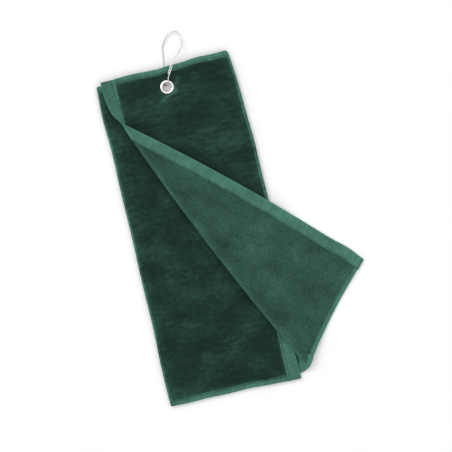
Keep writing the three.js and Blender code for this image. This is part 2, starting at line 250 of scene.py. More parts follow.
def thick_sheet(name, mid, normal, up, down, uv, keep=None, tone=None):
    """A closed sheet of cloth. mid and uv are grids; up and down are the thickness on each side.

    Its upper faces are zone 0, and its lower faces and edges zone 1.
    """
    rows, columns = mid.shape[:2]
    normal = np.broadcast_to(normal, mid.shape)
    keep = np.ones((rows - 1, columns - 1), bool) if keep is None else keep
    count = rows * columns
    number = np.arange(count).reshape(rows, columns)
    upper = mid + normal * up[..., None]
    lower = mid - normal * down[..., None]
    corners = np.stack([number[:-1, :-1], number[1:, :-1], number[1:, 1:], number[:-1, 1:]], -1)
    padded = np.pad(keep, 1)
    walls = []
    for side, (di, dj) in enumerate([(0, -1), (1, 0), (0, 1), (-1, 0)]):
        beside = padded[1 + di:rows + di, 1 + dj:columns + dj]
        edge = corners[keep & ~beside]
        first, second = edge[:, side], edge[:, (side + 1) % 4]
        walls.append(np.stack([second, first, first + count, second + count], 1))
    top = corners[keep]
    bottom = top[:, ::-1] + count
    edges = np.concatenate(walls)
    faces = np.concatenate([top, bottom, edges])
    i, j = rows // 2, columns // 2
    if np.cross(upper[i + 1, j] - upper[i, j], upper[i, j + 1] - upper[i, j]) @ normal[i, j] < 0:
        faces = faces[:, ::-1]
    vertices = np.concatenate([upper.reshape(-1, 3), lower.reshape(-1, 3)])
    used, faces = np.unique(faces, return_inverse=True)
    faces = faces.reshape(-1, 4)
    zones = [0] * len(top) + [1] * (len(bottom) + len(edges))
    uv = np.concatenate([uv.reshape(-1, 2)] * 2)[used]
    tone = np.zeros((rows, columns)) if tone is None else tone
    return mesh_object(name, vertices[used], faces.tolist(), uv, zones, np.tile(tone.ravel(), 2)[used])


def weld(piece, distance=0.004):
    """Joins vertices that lie on each other, where a grid runs to a point."""
    bm = bmesh.new()
    bm.from_mesh(piece.data)
    bmesh.ops.remove_doubles(bm, verts=bm.verts, dist=distance * MM)
    bmesh.ops.dissolve_degenerate(bm, edges=bm.edges, dist=1e-7)
    bm.to_mesh(piece.data)
    bm.free()
    return piece


def between_rings(rings, sides, base=0, closed=False):
    """Faces from each ring of vertices to the next, and from the last one to the first if they close."""
    faces = []
    for k in range(rings if closed else rings - 1):
        a, b = base + k * sides, base + (k + 1) % rings * sides
        faces += [[a + m, b + m, b + (m + 1) % sides, a + (m + 1) % sides] for m in range(sides)]
    return faces


def tube(name, route, radius, sides=20, spacing=0.7):
    """A round wire along a smooth route, with round ends."""
    length = np.linalg.norm(np.diff(np.asarray(route, float), axis=0), axis=1).sum()
    path = smooth_curve(route, int(length / spacing) + 2)
    tangent = np.gradient(path, axis=0)
    tangent /= np.linalg.norm(tangent, axis=1)[:, None]
    askew = [0.3, 0.2, 1]  # a direction that no wire here starts in
    side = np.cross(tangent[0], askew)
    rings = []
    caps = [(-math.cos(t) * radius, math.sin(t) * radius) for t in np.linspace(0.15, 1.4, 5)]
    for k, (point, along) in enumerate(zip(path, tangent)):
        side = side - along * (side @ along)
        side /= np.linalg.norm(side)
        other = np.cross(along, side)
        around = [(math.cos(a), math.sin(a)) for a in np.linspace(0, 2 * math.pi, sides, endpoint=False)]
        spots = [(0, radius)]
        if k == 0:
            spots = caps + spots
        if k == len(path) - 1:
            spots = spots + [(-shift, r) for shift, r in caps[::-1]]
        for shift, r in spots:
            rings.append([point + along * shift + r * (c * side + s * other) for c, s in around])
    vertices = np.array(rings).reshape(-1, 3)
    faces = [[a, d, c, b] for a, b, c, d in between_rings(len(rings), sides)]
    faces.append(list(range(sides))[::-1])
    faces.append([(len(rings) - 1) * sides + m for m in range(sides)])
    return mesh_object(name, vertices, faces)


def turned(name, profile, segments=96):
    """A ring turned about the grommet's axis; the profile's (radius, height) points close on themselves."""
    angle = np.linspace(0, 2 * math.pi, segments, endpoint=False)
    vertices = [
        (GROMMET[X] + r * math.cos(a), GROMMET[Y] + r * math.sin(a), z) for a in angle for r, z in profile
    ]
    return mesh_object(name, vertices, between_rings(segments, len(profile), closed=True))


def stitches(name, route, normal, pitch=3.1, length=2.5, radius=0.24, sides=6, steps=8, arch_height=0.4):
    """A row of lockstitches along a route: short threads that dip into the cloth at both ends."""
    route, normal = np.asarray(route, float), np.asarray(normal, float)
    total = np.linalg.norm(np.diff(route, axis=0), axis=1).sum()
    count = int(total / pitch)
    both = resample(np.hstack([route, np.broadcast_to(normal, route.shape)]), count * steps + 1)
    vertices, faces = [], []
    span = max(2, round(steps * length / pitch))
    for s in range(count):
        part = both[s * steps:s * steps + span + 1]
        along = part[-1, :3] - part[0, :3]
        along /= np.linalg.norm(along)
        rise = part[:, 3:6] / np.linalg.norm(part[:, 3:6], axis=1)[:, None]
        arch = np.sin(np.linspace(0, math.pi, span + 1))
        spine = part[:, :3] + rise * ((arch - 0.55) * arch_height)[:, None]
        base = len(vertices)
        for point, up, share in zip(spine, rise, np.sqrt(arch) * 0.6 + 0.4):
            side = np.cross(along, up)
            for a in np.linspace(0, 2 * math.pi, sides, endpoint=False):
                vertices.append(point + radius * share * (math.cos(a) * side + math.sin(a) * up))
        faces += between_rings(span + 1, sides, base)
        faces.append([base + m for m in range(sides)])
        faces.append([base + span * sides + m for m in range(sides)][::-1])
    return mesh_object(name, vertices, faces)


# ---------------- the folded cloth's shape

def squeezed(layer, y, which):
    lying, end = LAYERS[layer]
    return mix(lying[which], end[which], smoothstep(y, *SQUEEZE))


def mid_height(layer, y):
    return squeezed(layer, y, 0)


def half_thickness(layer, y):
    return squeezed(layer, y, 1)


def fold_x(y):
    """The outside of the right fold, which bulges near its middle and rounds off at its foot."""
    from_widest = y - FOLD_WIDEST_Y
    rise = FOLD_RISE[0] * (from_widest / FOLD_RISE[1]) ** 2
    fall = FOLD_FALL[0] * (from_widest / FOLD_FALL[1]) ** 2
    foot = FOLD_FOOT[0] * smoothstep(-y, *FOLD_FOOT[1:]) ** 1.5
    return FOLD_X - np.where(from_widest > 0, rise, fall) - foot + 0.25 * np.sin(y / 11)


def left_x(y):
    """The outside of the left fold, which swells near the grommet end and a little at the foot."""
    corner = 0.9 * smoothstep(y, TOP_BACK_Y - 6, TOP_BACK_Y + 2) ** 2
    swell = 1.5 * hump(y - 146, 26) + 0.6 * smoothstep(-y, 100, 140)
    return LEFT_X + corner - swell + 0.25 * np.sin(y / 17 + 1)


def inner_edge_x(y):
    return INNER_EDGE_X - 3 * (y - BOTTOM_Y) / (TOP_BACK_Y - BOTTOM_Y) + 0.2 * np.sin(y / 8)


def inner_pile_x(y):
    """The right edge of the inner leaf's pile."""
    return inner_edge_x(y) - 15.5 + 0.9 * smoothstep(y, -190, -150)


def crease_point(share):
    """The middle of the crease's round fold, from 0 at its upper left end to 1 at the lower right one."""
    along = (2 * np.asarray(share) - 1) * CREASE_HALF_LENGTH
    out = CREASE_BULGE - 4 * CREASE_BOW * share * (1 - share)
    return CREASE_POINT + CREASE_DIR * along[..., None] + CREASE_NORMAL * np.asarray(out)[..., None]


CREASE = crease_point(np.linspace(-0.01, 1.04, 200))


def crease_x(y):
    return np.interp(-y, -CREASE[:, Y], CREASE[:, X])


def bottom_edge(x):
    return BOTTOM_Y + 0.4 - 1.9 * smoothstep(x, 20, 60) + 0.25 * np.sin(x / 7)


def top_edge(x, layer):
    if layer == "front":
        dip = 0.7 * hump(x + 4, 7) + 0.8 * hump(x - FRONT_EDGE_X, 4) - hump(x + 61, 4)
        return TOP_FRONT_Y - 1.2 + 2.6 * smoothstep(x, -5, 55) - dip + 0.3 * np.sin(x / 6 + 1)
    return TOP_BACK_Y - 2.4 * (1 - smoothstep(x, LEFT_X, LEFT_X + 30))


# Columns of the folded cloth, from the inner leaf's free edge round both folds to the front leaf's free edge
SEGMENTS = [("inner", 92), ("left", 7), ("back", 56), ("right", 9), ("front", 92)]
FRONT_FOOT_Y = -162  # where the crease meets the right fold, and the front leaf ends
LEAF_WIDTH = 140  # about the width of a leaf's pile


def folded_columns():
    """Each column's segment and its place along it, from 0 to 1."""
    names, places = [], []
    for segment, count in SEGMENTS:
        if segment in ("left", "right"):
            place = (np.arange(count) + 0.5) / count
        else:
            place = graded(count, 145, first=segment == "inner", last=segment == "front")
        names += [segment] * len(place)
        places.append(place)
    return np.array(names), np.concatenate(places)


COLUMN, PLACE = folded_columns()


def front_pile_x(y):
    """The left edge of the front leaf's pile: its side band at the top, the crease further down."""
    return np.maximum(FRONT_EDGE_X + SIDE_BAND, crease_x(y))


def folded_xz(y):
    """X, Z, the outward normal and the half thickness of the folded cloth at each row's Y in each column."""
    shape = y.shape
    x, z, half = np.zeros(shape), np.zeros(shape), np.zeros(shape)
    normal = np.zeros(shape + (3,))
    inner, back, front = (mid_height(layer, y) for layer in ("inner", "back", "front"))
    thick = {layer: half_thickness(layer, y) for layer in LAYERS}
    left_centre = left_x(y) + (inner - back + thick["inner"] + thick["back"]) / 2
    right_centre = fold_x(y) - (front - back + thick["front"] + thick["back"]) / 2
    for segment in ("inner", "left", "back", "right", "front"):
        here = np.broadcast_to(COLUMN == segment, shape)
        place = np.broadcast_to(PLACE, shape)[here]
        if segment == "inner":
            x[here] = mix(inner_pile_x(y)[here], left_centre[here], place)
            z[here], half[here], normal[here] = inner[here], thick["inner"][here], (0, 0, 1)
        elif segment == "back":
            x[here] = mix(left_centre[here], right_centre[here], place)
            z[here], half[here], normal[here] = back[here], thick["back"][here], (0, 0, -1)
        elif segment == "front":
            end = np.minimum(front_pile_x(y), right_centre)
            x[here] = mix(right_centre[here], end[here], place)
            z[here], half[here], normal[here] = front[here], thick["front"][here], (0, 0, 1)
        else:
            left = segment == "left"
            top, centre = (inner, left_centre) if left else (front, right_centre)
            ends = ("inner", "back") if left else ("back", "front")
            angle = math.pi * (place + (0.5 if left else -0.5))
            radius = ((top - back) / 2)[here]
            x[here] = centre[here] + radius * np.cos(angle)
            z[here] = ((top + back) / 2)[here] + radius * np.sin(angle)
            half[here] = mix(thick[ends[0]][here], thick[ends[1]][here], place)
            normal[here] = np.stack([np.cos(angle), np.zeros_like(angle), np.sin(angle)], 1)
    return x, z, normal, half


def along_path(shape):
    """The distance along the folded path to each column, at the towel's middle."""
    x, z = (a[0] for a in folded_xz(np.zeros((1, len(COLUMN))))[:2])
    steps = np.hypot(np.diff(x), np.diff(z))
    return np.broadcast_to(np.concatenate([[0], np.cumsum(steps)]), shape)


def column_ends(edge_bottom, edge_top_back, edge_top_front):
    """Each column's lowest and highest Y, from functions of X."""
    x_low = folded_xz(np.full((1, len(COLUMN)), BOTTOM_Y + 8.0))[0][0]
    x_high = folded_xz(np.full((1, len(COLUMN)), TOP_BACK_Y - 4.0))[0][0]
    round_right = np.where(COLUMN == "front", 1.0, np.where(COLUMN == "right", PLACE, 0.0))
    lowest = mix(edge_bottom(x_low), FRONT_FOOT_Y, round_right)
    highest = mix(edge_top_back(x_high), edge_top_front(x_high), round_right)
    return lowest, highest


def away_from_grommet(x, y, hole=6.0, reach=12):
    """Moves points outwards round the grommet, so that the grid opens to a round hole."""
    dx, dy = x - GROMMET[X], y - GROMMET[Y]
    r = np.hypot(dx, dy)
    wanted = np.where(r < reach, hole + r * (reach - hole) / reach, r)
    scale = wanted / np.maximum(r, 1e-6)
    return GROMMET[X] + dx * scale, GROMMET[Y] + dy * scale, r


# A fold that the grommet pulls up in the pile, from the grommet's centre
RIDGE = [(14.7, 7), (9.2, -0.1), (8.7, -6.6), (2.4, -9.3), (-2.4, -11), (-8.5, -14.4)]


def cloth_painted_light_and_shade(x, y, from_rows, from_side, ridge):
    """Painted light and shade in the cloth's colour: sheen highlights on the folds, lighter pile edges, a
    highlight on the grommet's ridge, and shadow beside the turned-back corner.
    """
    front, inner = COLUMN == "front", COLUMN == "inner"
    from_fold = np.where(front, fold_x(y) - x, np.where(inner, x - left_x(y), 99.0))
    turning = np.isin(COLUMN, ["left", "right"]) & (np.abs(PLACE - (COLUMN == "right")) < 0.6)
    # Painted sheen highlight: strongest on the folds' turning columns, and fading in from each fold over the
    # leaves
    rim = np.where(turning, 0.27, 0.12 * hump(from_fold, 2.6) + 0.05 * hump(from_fold - 4, 5))
    # Lighter within about 2 mm of the pile's edges
    edges = 0.12 * hump(np.minimum(from_rows, from_side), 2.0)
    # Painted shadow on the front leaf beside the corner's side hem, and on the inner leaf beside the crease
    beside_hem = distance_to(flap_side(0), x, y)
    beside_crease = distance_to(CREASE[::2], x, y)
    beside = np.where(front, 0.06 * hump(beside_hem, 9) + 0.05 * hump(beside_hem, 3), 0)
    beside = beside + np.where(inner, 0.05 * hump(beside_crease, 11) + 0.04 * hump(beside_crease, 4), 0)
    # Painted highlight along the ridge that the grommet pulls up in the front leaf
    return rim + edges - beside + np.where(front, 0.2 * ridge, 0)


def add_cloth():
    """The letter-folded cloth in one piece: inner leaf, left fold, back panel, right fold, front leaf."""
    fuzz = waves(3, 3.2)
    lowest, highest = column_ends(
        lambda x: bottom_edge(x) + END_BAND + 0.35 * fuzz(x, 0),
        lambda x: top_edge(x, "back") - END_BAND,
        lambda x: top_edge(x, "front") - END_BAND + 0.35 * fuzz(x, 9),
    )
    rows = graded(174, 370)
    y = mix(lowest, highest, rows[:, None])
    x, z, normal, half = folded_xz(y)
    x, y, from_grommet = away_from_grommet(x, y)
    front, inner = COLUMN == "front", COLUMN == "inner"
    edge = np.where(inner, PLACE, np.where(front, 1 - PLACE, 0)) * LEAF_WIDTH
    from_side = np.where(inner | front, edge, 99.0)
    x = x + 0.3 * fuzz(y, x) * hump(from_side, 2)
    from_rows = np.minimum(y - lowest, highest - y)
    taper = rounded(np.minimum(from_rows, np.where(inner, from_side, 99.0)), HALF)
    swell, nap = waves(6, 16), waves(7, 4.5)
    soft = np.where(front | inner, 1.0, 0.35)
    lift = soft * (0.34 * DIPS(x, y) + 0.2 * swell(x, y) * taper)
    lift = np.where(COLUMN == "back", np.abs(lift), lift)  # the back panel stays above the surface
    dx, dy = x - GROMMET[X], y - GROMMET[Y]
    from_ring = np.hypot(dx, dy)
    calm = 1 - hump(from_ring, 16)
    ridge = hump(distance_to(smooth_curve(RIDGE, 120), dx, dy), 1.8)
    pucker = np.exp(-np.maximum(from_ring - FLANGE_R, 0) / 8) * smoothstep(from_ring, 7, 10)
    angle = np.arctan2(dy, dx)
    folds = 0.34 * np.cos(5 * angle + 0.6) + 0.24 * np.cos(8 * angle + 2)
    z = z + lift * calm + np.where(front, pucker * folds + 0.75 * ridge, 0)
    up = half * taper + 0.1 * nap(x, y) * taper * soft
    down = half * np.where(from_rows < HALF, rounded(from_rows, HALF), 1)
    dimple = 1 - smoothstep(from_ring, FLANGE_R - 0.4, FLANGE_R + 2.6)
    up = np.where(front, mix(up, 0.35, dimple), up)
    up = np.where(COLUMN == "back", mix(up, -0.42, dimple), up)
    corners = [from_grommet[a:a - 1 or None, b:b - 1 or None] for a in (0, 1) for b in (0, 1)]
    keep = np.min(corners, axis=0) > 1.6  # all but the cells over the grommet's hole
    piece = thick_sheet(
        "towel_cloth", np.stack([x, y, z], -1), normal, up, down, np.stack([along_path(x.shape), y], -1),
        keep, cloth_painted_light_and_shade(x, y, from_rows, from_side, ridge),
    )
    weld(piece)
    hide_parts("back_panel", "left_fold", "inner_leaf", "right_fold", "front_leaf")
    dress(piece, "towel", "velour", velour(), terry())
    return piece


def add_end_hem(name, nodes, at_top):
    """A hem that runs on round the folds: the bottom one on two layers, the top one on all three."""
    wanted = ["inner", "left", "back"] + (["right", "front"] if at_top else [])
    pick = np.isin(COLUMN, wanted)

    def edge(inset):
        lowest, highest = column_ends(
            lambda x: bottom_edge(x) + inset,
            lambda x: top_edge(x, "back") - inset,
            lambda x: top_edge(x, "front") - inset,
        )
        return highest if at_top else lowest

    inner, outer = edge(END_BAND + HEM_TUCK), edge(0)
    across = graded(10, END_BAND, last=False)
    y = mix(outer, inner, across[:, None])
    x, z, normal, half = folded_xz(y)
    from_edge = np.abs(y - outer)
    half = np.minimum(half, HEM_HALF) * rounded(from_edge, HEM_HALF)
    groove = 0.3 * hump(from_edge - END_HEM, 0.5)
    ripple = waves(11 + at_top, 3.2)
    z = z + 0.12 * ripple(x, y) + 0.2 * DIPS(x, y)
    grid = [a[:, pick] for a in (np.stack([x, y, z], -1), normal, half - groove, half)]
    uv = np.stack([along_path(x.shape), from_edge], -1)[:, pick]
    strokes = 0.5 + 0.5 * waves(51, 1.5)(x, y / 4)
    # Painted highlight on the turned edge and painted shade in the stitching groove, with darker streaks of
    # pile towards the pile's edge
    tone = hem_painted_light_and_shade(from_edge, END_HEM) - 0.14 * strokes * smoothstep(from_edge, 0.5 * END_BAND, END_BAND)
    if not at_top:
        tone = tone - 0.13 * hump(x - LEFT_X, 16)
    piece = thick_sheet(name, *grid, uv, tone=tone[:, pick])
    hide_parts(*nodes)
    dress(piece, "towel", "hem", flat_weave())
    y = mix(outer, inner, END_HEM / (END_BAND + HEM_TUCK))[None]
    x, z, normal, half = folded_xz(y)
    half = np.minimum(half, HEM_HALF) - THREAD_SINK
    route = np.stack([x, y, z + 0.2 * DIPS(x, y)], -1) + normal * half[..., None]
    thread = stitches(name + "_stitches", route[0, pick], normal[0, pick])
    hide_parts(*[node.replace("hem", "thread") for node in nodes])
    dress(thread, "towel", "thread", thread_material())
    return piece, thread


def hem_painted_light_and_shade(from_edge, groove_at):
    """Painted light and shade on a hem: a painted highlight along its turned edge and painted shade in the
    groove of its stitching.
    """
    return 0.09 * hump(from_edge, 1.1) - 0.15 * hump(from_edge - groove_at, 0.55)


def ribbon(name, outer, inner, height, half, groove_at, across, tone):
    """A flat band between two rails of equal count, rounded at the outer one, with a stitching groove."""
    width = np.linalg.norm(inner - outer, axis=1)
    q = graded(across, max(width.max(), 4), last=False)
    xy = mix(outer[:, None], inner[:, None], q[None, :, None])
    from_edge = q[None] * width[:, None]
    x, y = xy[..., 0], xy[..., 1]
    length = np.concatenate([[0], np.cumsum(np.linalg.norm(np.diff(outer, axis=0), axis=1))])
    from_ends = np.minimum(length, length[-1] - length)[:, None]
    shape = rounded(np.minimum(from_edge, from_ends + 0.3), half)
    pull = 0.16 * waves(len(name), 5)(x, y) * hump(from_edge - groove_at, 4)
    z = height(x, y) + pull
    up = half * shape - 0.3 * hump(from_edge - groove_at, 0.5)
    uv = np.stack([np.broadcast_to(length[:, None], x.shape), from_edge], -1)
    grid = np.stack([x, y, z], -1), UP, np.maximum(up, 0.05), half * shape
    return thick_sheet(name, *grid, uv, tone=tone(from_edge, groove_at))


def stitched_band(side, body, outer, inner, height, half, seam, across=22, tone=hem_painted_light_and_shade, thread=None):
    """A hem's band and its stitches, which run wherever the band is wide enough for them.

    thread is their distance from the edge and how many of the rails' points they follow, where that
    isn't the seam all along.
    """
    at, count = thread or (seam, len(outer))
    band = ribbon(side + "_band", outer, inner, height, half, seam, across, tone)
    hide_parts(side + "_hem")
    dress(band, body, "hem", flat_weave())
    outer, inner = outer[:count], inner[:count]
    width = np.linalg.norm(inner - outer, axis=1)
    xy = (outer + (inner - outer) * (at / np.maximum(width, 1e-6))[:, None])[width > at + 1]
    route = np.column_stack([xy, height(xy[:, X], xy[:, Y]) + half - THREAD_SINK])
    row = stitches(side + "_stitches", route, UP)
    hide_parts(side + "_thread")
    dress(row, body, "thread", thread_material())
    return [band, row]


def add_inner_side_hem():
    """The hem at the free edge of the inner leaf, which shows at the lower right."""
    y = np.linspace(bottom_edge(np.array(INNER_EDGE_X)) + 0.2, TOP_BACK_Y, 170)
    outer = np.column_stack([inner_edge_x(y), y])
    inner = np.column_stack([inner_pile_x(y) - 0.6, y])

    def height(x, y):
        return mid_height("inner", y) + 0.2 * DIPS(x, y)

    def tone(from_edge, groove_at):
        # Painted highlight on the turned edge, painted shade in the stitching groove, and darker from the
        # stitching in to the pile
        return hem_painted_light_and_shade(from_edge, groove_at) - 0.09 * smoothstep(from_edge, groove_at, SIDE_BAND)

    return stitched_band("inner_side", "towel", outer, inner, height, HEM_HALF - 0.1, SIDE_HEM, tone=tone)


def add_front_side_hem():
    """The hem at the front leaf's upper left, whose free edge curls in to the top of the crease."""
    top_y = top_edge(np.array(FRONT_EDGE_X), "front") - 0.4
    crease_start = crease_point(np.array(0.0))
    band_end = crease_point(np.array(0.045))
    outer = smooth_curve(
        [
            (FRONT_EDGE_X, top_y),
            (FRONT_EDGE_X + 0.2, 173),
            (FRONT_EDGE_X + 2.1, 160.8),
            (FRONT_EDGE_X + 5.4, 149.4),
            (crease_start[X] - 3.4, 141.6),
            tuple(band_end),
        ],
        60,
    )
    inner_y = np.linspace(top_y, band_end[Y] - 1.5, 60)
    inner = np.column_stack([np.full(60, FRONT_EDGE_X + SIDE_BAND + HEM_TUCK), inner_y])

    def height(x, y):
        from_crease = np.hypot(x - crease_start[X], y - crease_start[Y])
        return mid_height("front", y) + 0.9 * hump(from_crease, math.sqrt(120))

    def tone(from_edge, groove_at):
        down = np.linspace(0, 1, len(outer))[:, None]
        # Painted highlight along the rolled edge and on the raised stripe between the stitching and the
        # pile, painted shade deepening towards the crease where the band turns away, and painted shade in
        # the stitching groove
        rim = 0.16 * hump(from_edge, 1.0)
        stripe = 0.05 * smoothstep(from_edge, groove_at - 0.5, groove_at + 1)
        return rim + stripe - 0.05 - 0.05 * down - 0.1 * hump(from_edge - groove_at, 0.5)

    thread = (SIDE_HEM - 0.5, 44)  # it ends before the hem narrows into the crease
    return stitched_band(
        "front_side", "towel", outer, inner, height, HEM_HALF, SIDE_HEM, tone=tone, thread=thread
    )


# ---------------- the turned-back corner

def flap_mid(x, y):
    """Its middle height: flat on the towel, then down to the surface past the right fold."""
    drop = smoothstep(x, DROOP[0], DROOP[0] + DROOP[1])
    wave = 0.32 * waves(21, 34)(x, y) + 0.45 * drop * np.sin((x + 1.4 * y) / 21)
    near_crease = np.abs((np.stack([x, y], -1) - CREASE_POINT) @ CREASE_NORMAL)
    return FLAP_MID * (1 - drop) + (HALF + 0.45) * drop + wave * smoothstep(near_crease, 2, 16)


def bowed(start, end, bow, inset, count):
    """A bowed edge from start to end; the cloth is on its right, and a positive bow is to its left."""
    along = (end - start) / np.linalg.norm(end - start)
    left = np.array([-along[1], along[0]])
    share = np.linspace(0, 1, count)[:, None]
    return start + (end - start) * share + left * (4 * bow * share * (1 - share) - inset)


def flap_side(inset, count=200):
    """The corner's hemmed side, which swells a little just before the corner."""
    swell = 1.7 * hump(np.linspace(0, 1, count) - 0.93, 0.05)
    return bowed(FLAP_PIVOT, FLAP_CORNER, SIDE_BOW, inset, count) - FLAP_INWARD * swell[:, None]


def flap_end(inset, count):
    """The corner's other hemmed side, from the corner to the foot of the crease."""
    return bowed(FLAP_CORNER, FLAP_END, END_BOW, inset, count)


def crossing(a, b):
    """Where two polylines come closest: the place on each as an index."""
    distance = np.linalg.norm(a[:, None] - b[None], axis=2)
    return np.unravel_index(distance.argmin(), distance.shape)


FLAP_SPAN = (300, 130)  # about how far the corner's cloth reaches along its crease and across it


def add_flap_cloth():
    """The looped cloth inside the corner's hems: rows run from the crease to the side hem."""
    crease = crease_point(np.linspace(0, 1.05, 1600))
    side, end = flap_side(LOOP_SIDE, 1600), flap_end(LOOP_END, 1200)
    crease_top, side_top = crossing(crease, side)
    crease_foot, end_foot = crossing(crease, end)
    side_corner, end_corner = crossing(side, end)
    rows, columns, fine = 285, 118, 2000
    place = graded(rows, FLAP_SPAN[0], first=False)
    pick = (place * (fine - 1)).astype(int)
    left = resample(crease[crease_top:crease_foot + 1], fine)[pick]
    right = resample(side[side_top:side_corner + 1], fine)[pick]
    across = graded(columns, FLAP_SPAN[1], first=False)
    xy = mix(left[:, None], right[:, None], across[None, :, None])
    end_rail = resample(end[end_corner:end_foot + 1][::-1], len(across))
    straight = mix(end_rail[0], end_rail[-1], across[:, None])
    xy = xy + (end_rail - straight)[None] * (place ** 6)[:, None, None]
    x, y = xy[..., 0], xy[..., 1]
    width = np.linalg.norm(right - left, axis=1)[:, None]
    from_edge = np.minimum((1 - across)[None] * width, (1 - place)[:, None] * FLAP_SPAN[0])
    taper = 0.55 + 0.45 * rounded(from_edge, 1.3)
    loops, tufts = waves(31, 1.5, 36), waves(32, 2.6, 30)
    up = (HALF + 0.16 * loops(x, y) + 0.12 * tufts(x, y)) * taper
    down = HALF * taper
    uv = np.stack([(xy - FLAP_PIVOT) @ FLAP_ALONG, (xy - FLAP_PIVOT) @ FLAP_INWARD], -1)
    from_crease = across[None] * width
    # Painted sheen highlight along the crease, darker in a band about 9 mm in from it, and painted shade
    # where the loops meet the hems
    tone = 0.08 * hump(from_crease, 1.6) - 0.04 * hump(from_crease - 9, 8) - 0.05 * hump(from_edge, 1.2)
    piece = thick_sheet("flap_cloth", np.stack([x, y, flap_mid(x, y)], -1), UP, up, down, uv, tone=tone)
    weld(piece)
    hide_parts("turned_flap")
    dress(piece, "flap", "terry", terry(), velour())
    return piece


def add_flap_hems():
    """The side hem, which narrows to the top of the crease, and the end hem that stops at it."""
    side_outer = flap_side(0, 240)
    crease, outer = CREASE - FLAP_PIVOT, side_outer - FLAP_PIVOT
    gap = np.interp(outer @ FLAP_ALONG, crease @ FLAP_ALONG, crease @ FLAP_INWARD) - outer @ FLAP_INWARD
    side_inner = side_outer + FLAP_INWARD * np.clip(gap + 0.2, 0.3, LOOP_SIDE + 0.4)[:, None]
    end_outer, end_inner = flap_end(0, 140), flap_end(LOOP_END + HEM_TUCK, 140)
    inside = ((end_outer - FLAP_CORNER) @ FLAP_INWARD > LOOP_SIDE - 1.5) & (end_outer[:, Y] > -173)
    end_outer, end_inner = end_outer[inside], end_inner[inside]
    return [
        *stitched_band(
            "flap_side", "flap", side_outer, side_inner, flap_mid, HEM_HALF + 0.1, SIDE_HEM, across=20
        ),
        *stitched_band("flap_end", "flap", end_outer, end_inner, flap_mid, HEM_HALF, END_HEM, across=12),
    ]


def add_crease(name, start, end, half, slot, *materials):
    """Half of the round crease between the front leaf and its turned-back corner, looped side out.

    The lower half stays on the towel and the upper half turns with the corner, sliding over the lower one.
    """
    length = np.linspace(start, end, int((end - start) / 1.5))
    middle = crease_point(length / (2 * CREASE_HALF_LENGTH))
    angle = np.linspace(*CREASE_ARC[half], 10) * math.pi
    radius = (FLAP_MID - LAYERS["front"][0][0]) / 2 * (0.35 + 0.65 * smoothstep(length, 0, 12))[:, None]
    out = radius * np.cos(angle)
    x = middle[:, None, X] + CREASE_NORMAL[X] * out
    y = middle[:, None, Y] + CREASE_NORMAL[Y] * out
    z = CREASE_Z + radius * np.sin(angle)
    normal = np.column_stack([np.cos(angle)[:, None] * CREASE_NORMAL, np.sin(angle)])
    ends = rounded(np.minimum(length, CREASE_END - length), 2.5)[:, None]
    taper = ends * (0.5 + 0.5 * radius / radius.max())
    past_top = smoothstep(-angle, 1.49 * math.pi, 1.58 * math.pi)
    loops = waves(41, 1.6, 30)
    up = (HALF + 0.1 * loops(length[:, None], 3 * angle[None])) * taper - 0.3 * past_top
    uv = np.stack([length[:, None] + 0 * x, -angle[None] * (radius.max() + HALF) + 0 * x], -1)
    grid = np.stack([x, y, z], -1), normal, up, np.maximum(radius - 0.2, 0.1) * taper
    # Its tone is a painted highlight all along the crease
    piece = thick_sheet(name, *grid, uv, tone=np.full(x.shape, 0.08))
    dress(piece, "towel" if half == "lower" else "flap", slot, *materials)
    return piece


def add_corner_turn():
    """The hem where it turns up from the foot of the right fold to the end of the turned-back corner."""
    count, width = 40, 8
    outer, inner = smooth_curve(FOOT_OUTER, count), smooth_curve(FOOT_INNER, count)
    across = graded(9, width)
    mid = mix(outer[:, None], inner[:, None], across[None, :, None])
    normal = np.cross(np.gradient(mid, axis=1), np.gradient(mid, axis=0))
    normal /= np.linalg.norm(normal, axis=2)[..., None]
    normal *= np.sign(normal[:1, :1, Z:])
    from_edge = np.minimum(across, 1 - across) * width + np.zeros((count, 1))
    half = 0.8 * rounded(from_edge, 0.8)
    uv = np.stack([mid[..., X], mid[..., Y]], -1)
    # Its tone is a painted highlight along both rolled edges
    piece = thick_sheet("corner_turn", mid, normal, half, half, uv, tone=0.07 * hump(from_edge, 1.2))
    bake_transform(piece)
    dress(piece, None, "hem", flat_weave())
    return piece


# ---------------- metal

def add_grommet():
    """The eyelet, domed on top with its barrel's end rolled outwards underneath, and its back ring."""
    hole, barrel = 5.0, 5.45
    flange = high("grommet_eyelet", Z) - 0.85
    dome = [
        (mix(FLANGE_R, hole, t), flange + 0.12 + 0.78 * math.sin(math.pi * t ** 0.8) ** 0.7)
        for t in np.linspace(0.02, 0.98, 18)
    ]
    lip = [(hole, 1.75), (5.2, 1.58), (5.8, 1.5), (6.4, 1.58), (6.55, 1.75), (6.3, 1.92), (barrel, 1.98)]
    eyelet = [(FLANGE_R, flange)] + dome + lip + [(barrel, flange - 0.02)]
    base, rim = low("grommet_washer", Z), high("grommet_washer", Z)
    washer = [
        (5.7, base + 0.1), (5.9, base), (7.4, base), (7.85, base + 0.1), (FLANGE_R, base + 0.25),
        (7.8, rim - 0.05), (7.2, rim), (5.9, rim), (5.7, rim - 0.1),
    ]
    for name, node, profile in [
        ("grommet_flange", "grommet_eyelet", eyelet),
        ("grommet_back_ring", "grommet_washer", washer),
    ]:
        ring = turned(name, profile)
        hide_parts(node)
        dress(ring, "towel", "grommet_metal", nickel())


